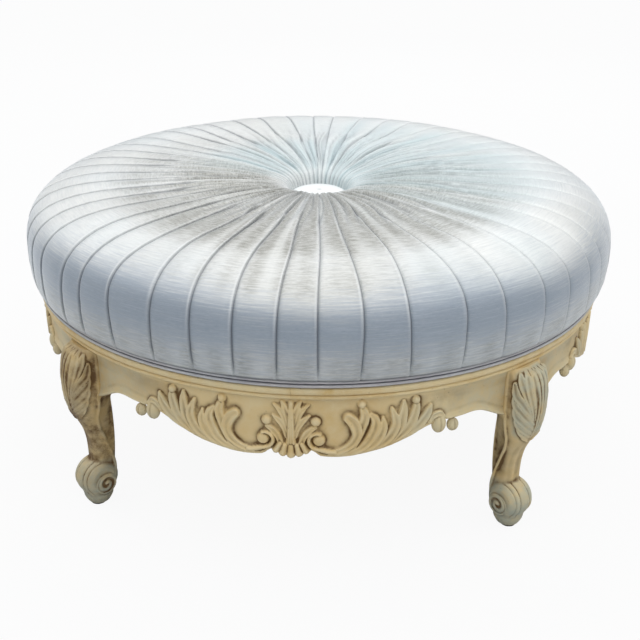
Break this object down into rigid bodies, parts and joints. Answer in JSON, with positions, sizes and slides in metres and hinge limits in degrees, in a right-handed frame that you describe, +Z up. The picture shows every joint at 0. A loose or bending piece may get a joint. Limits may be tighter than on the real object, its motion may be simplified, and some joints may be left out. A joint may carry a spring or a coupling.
{
  "type": "round ottoman",
  "caption": "Round ottoman with a pleated, buttoned velvet cushion on a carved circular frame with serpentine aprons and cabriole legs.",
  "frame": {"origin": "on the floor under the centre of the frame", "axes": "+Z up, +X to the right and -Y towards the front; one apron faces each of the four directions and the legs stand on the diagonals between them"},
  "size_m": [0.9978, 0.9978, 0.4715],
  "materials": {
    "leg_wood": "antique cream paint with grey-green wash and brown glaze, satin",
    "painted_wood": "antique cream paint with brown glaze, satin",
    "carved_wood": "antique cream and pale gold paint with brown glaze, satin",
    "moulding_wood": "antique cream paint with brown glaze, satin",
    "plain_wood": "bare, matte",
    "plywood": "bare, matte",
    "steel": "zinc plated, satin",
    "glide_plastic": "matte",
    "foam": "open-cell foam, matte",
    "wadding": "fibre wadding, matte",
    "velvet": "silver crushed velvet with a sheen",
    "welt_velvet": "silver velvet cord with a sheen",
    "button_velvet": "silver velvet with a sheen",
    "twine": "waxed twine, matte",
    "dust_cloth": "black non-woven cloth, matte"
  },
  "bodies": {
    "root": {"leg_front_left": "leg_wood", "leg_front_right": "leg_wood", "leg_rear_right": "leg_wood", "leg_rear_left": "leg_wood", "apron_front": "painted_wood", "apron_right": "painted_wood", "apron_rear": "painted_wood", "apron_left": "painted_wood", "carving_front": "carved_wood", "carving_right": "carved_wood", "carving_rear": "carved_wood", "carving_left": "carved_wood", "seat_ring_front_left": "moulding_wood", "seat_ring_front_right": "moulding_wood", "seat_ring_rear_right": "moulding_wood", "seat_ring_rear_left": "moulding_wood", "corner_block_front_left": "plain_wood", "corner_block_front_right": "plain_wood", "corner_block_rear_right": "plain_wood", "corner_block_rear_left": "plain_wood", "glue_blocks": "plain_wood", "batten_front": "plain_wood", "batten_rear": "plain_wood", "frame_dowels": "plain_wood", "corner_screws": "steel", "seat_screws": "steel", "batten_screws": "steel", "foot_glides": "glide_plastic", "seat_board": "plywood", "foam_core": "foam", "wadding": "wadding", "cover": "velvet", "welt_lower": "welt_velvet", "welt_upper": "welt_velvet", "button_shell": "button_velvet", "button_back": "steel", "button_twine": "twine", "twine_toggle": "plain_wood", "dust_cloth": "dust_cloth"}
  },
  "joints": []
}
